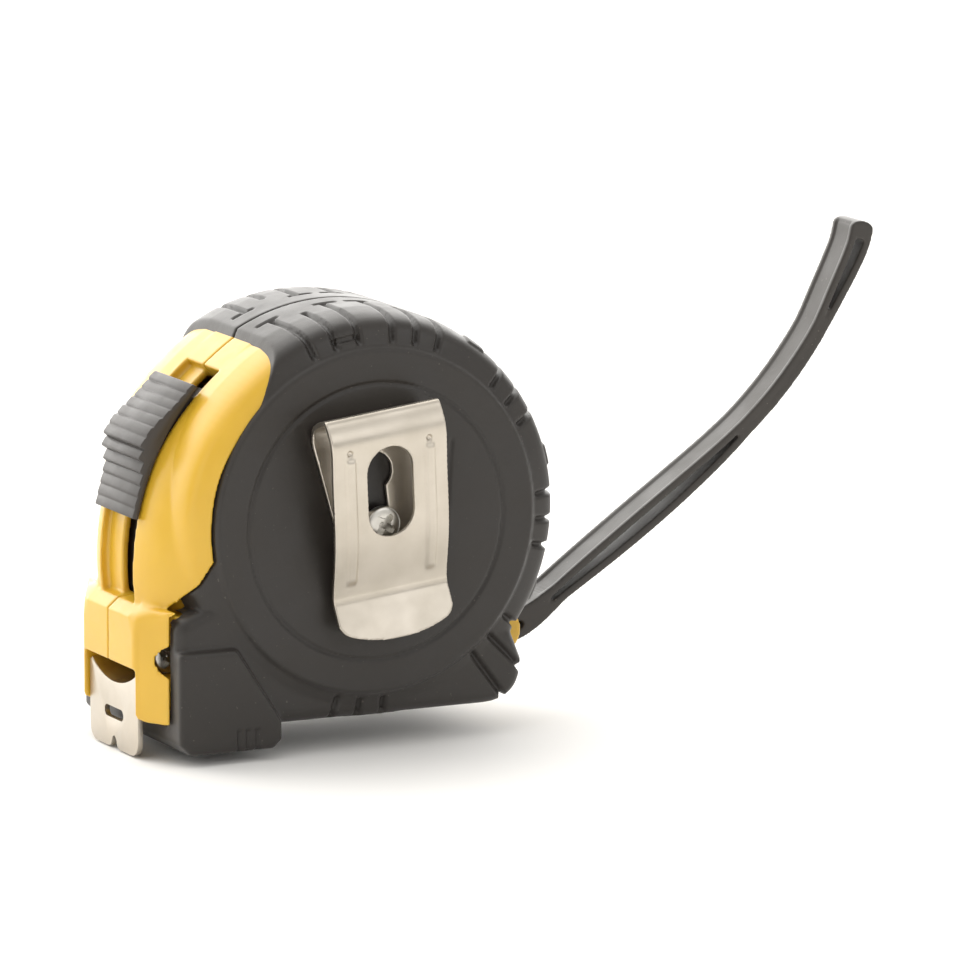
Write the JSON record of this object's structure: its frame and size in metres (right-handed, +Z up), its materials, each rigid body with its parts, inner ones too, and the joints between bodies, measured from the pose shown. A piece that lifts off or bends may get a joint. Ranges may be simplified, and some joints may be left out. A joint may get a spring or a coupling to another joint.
{
  "type": "tape measure",
  "caption": "Pocket tape measure: round two-part case in a rubber jacket, spring-wound tape with end hook, thumb lock, belt clip and wrist strap.",
  "frame": {"origin": "on the drum's axis, at the centre of the flat flank that has no clip", "axes": "+X from the nose towards the strap, +Y out of the plain flank along the drum's axis, +Z up through the crown; the belt clip is on the -Y side"},
  "size_m": [0.1389, 0.0475, 0.0779],
  "materials": {
    "yellow_abs": "moulded, fine satin",
    "black_rubber": "moulded, matt",
    "strap_rubber": "moulded, satin",
    "grey_abs": "moulded, fine satin",
    "dark_abs": "moulded",
    "nickel_steel": "nickel plated, satin",
    "zinc_steel": "zinc plated",
    "dark_steel": "blued spring steel",
    "tape_steel": "enamelled, clear coated"
  },
  "bodies": {
    "case": {"shell_clip_side": "yellow_abs", "shell_plain_side": "yellow_abs", "jacket_clip_side": "black_rubber", "jacket_plain_side": "black_rubber", "centre_post": "dark_steel", "power_spring": "dark_steel", "hook_bumper": "black_rubber", "case_screw_1": "zinc_steel", "case_screw_2": "zinc_steel", "case_screw_3": "zinc_steel", "case_screw_4": "zinc_steel", "strap_pin": "zinc_steel", "belt_clip": "nickel_steel", "clip_screw": "zinc_steel"},
    "drum": {"drum": "dark_abs", "drum_cover": "dark_abs", "tape_coil": "tape_steel"},
    "tape": {"tape_blade": "tape_steel", "hook_rivet_1": "nickel_steel", "hook_rivet_2": "nickel_steel"},
    "hook": {"end_hook": "nickel_steel"},
    "lock": {"thumb_lock": "grey_abs", "lock_slider": "dark_abs"},
    "strap": {"wrist_strap": "strap_rubber"}
  },
  "joints": [
    {"name": "drum_spin", "type": "hinge", "parent": "case", "child": "drum", "pos_m": [0, -0.0195, 0], "axis": [0, 1, 0], "range_deg": [0, 83.8], "stiffness_Nm_per_rad": 0.01, "springref_deg": -57.3},
    {"name": "blade_out", "type": "slide", "parent": "case", "child": "tape", "axis": [-1, 0, 0], "range_m": [0, 0.03]},
    {"name": "hook_play", "type": "slide", "parent": "tape", "child": "hook", "axis": [-1, 0, 0], "range_m": [0, 0.001]},
    {"name": "lock_slide", "type": "hinge", "parent": "case", "child": "lock", "pos_m": [0.00643, -0.0195, -0.00766], "axis": [0, -1, 0], "range_deg": [0, 10]},
    {"name": "strap_swing", "type": "hinge", "parent": "case", "child": "strap", "pos_m": [0.0275, -0.0195, -0.0225], "axis": [0, -1, 0], "range_deg": [-30, 12]}
  ],
  "couplings": [
    {"joint": "blade_out", "follows": "drum_spin", "m_per_rad": 0.0205}
  ]
}
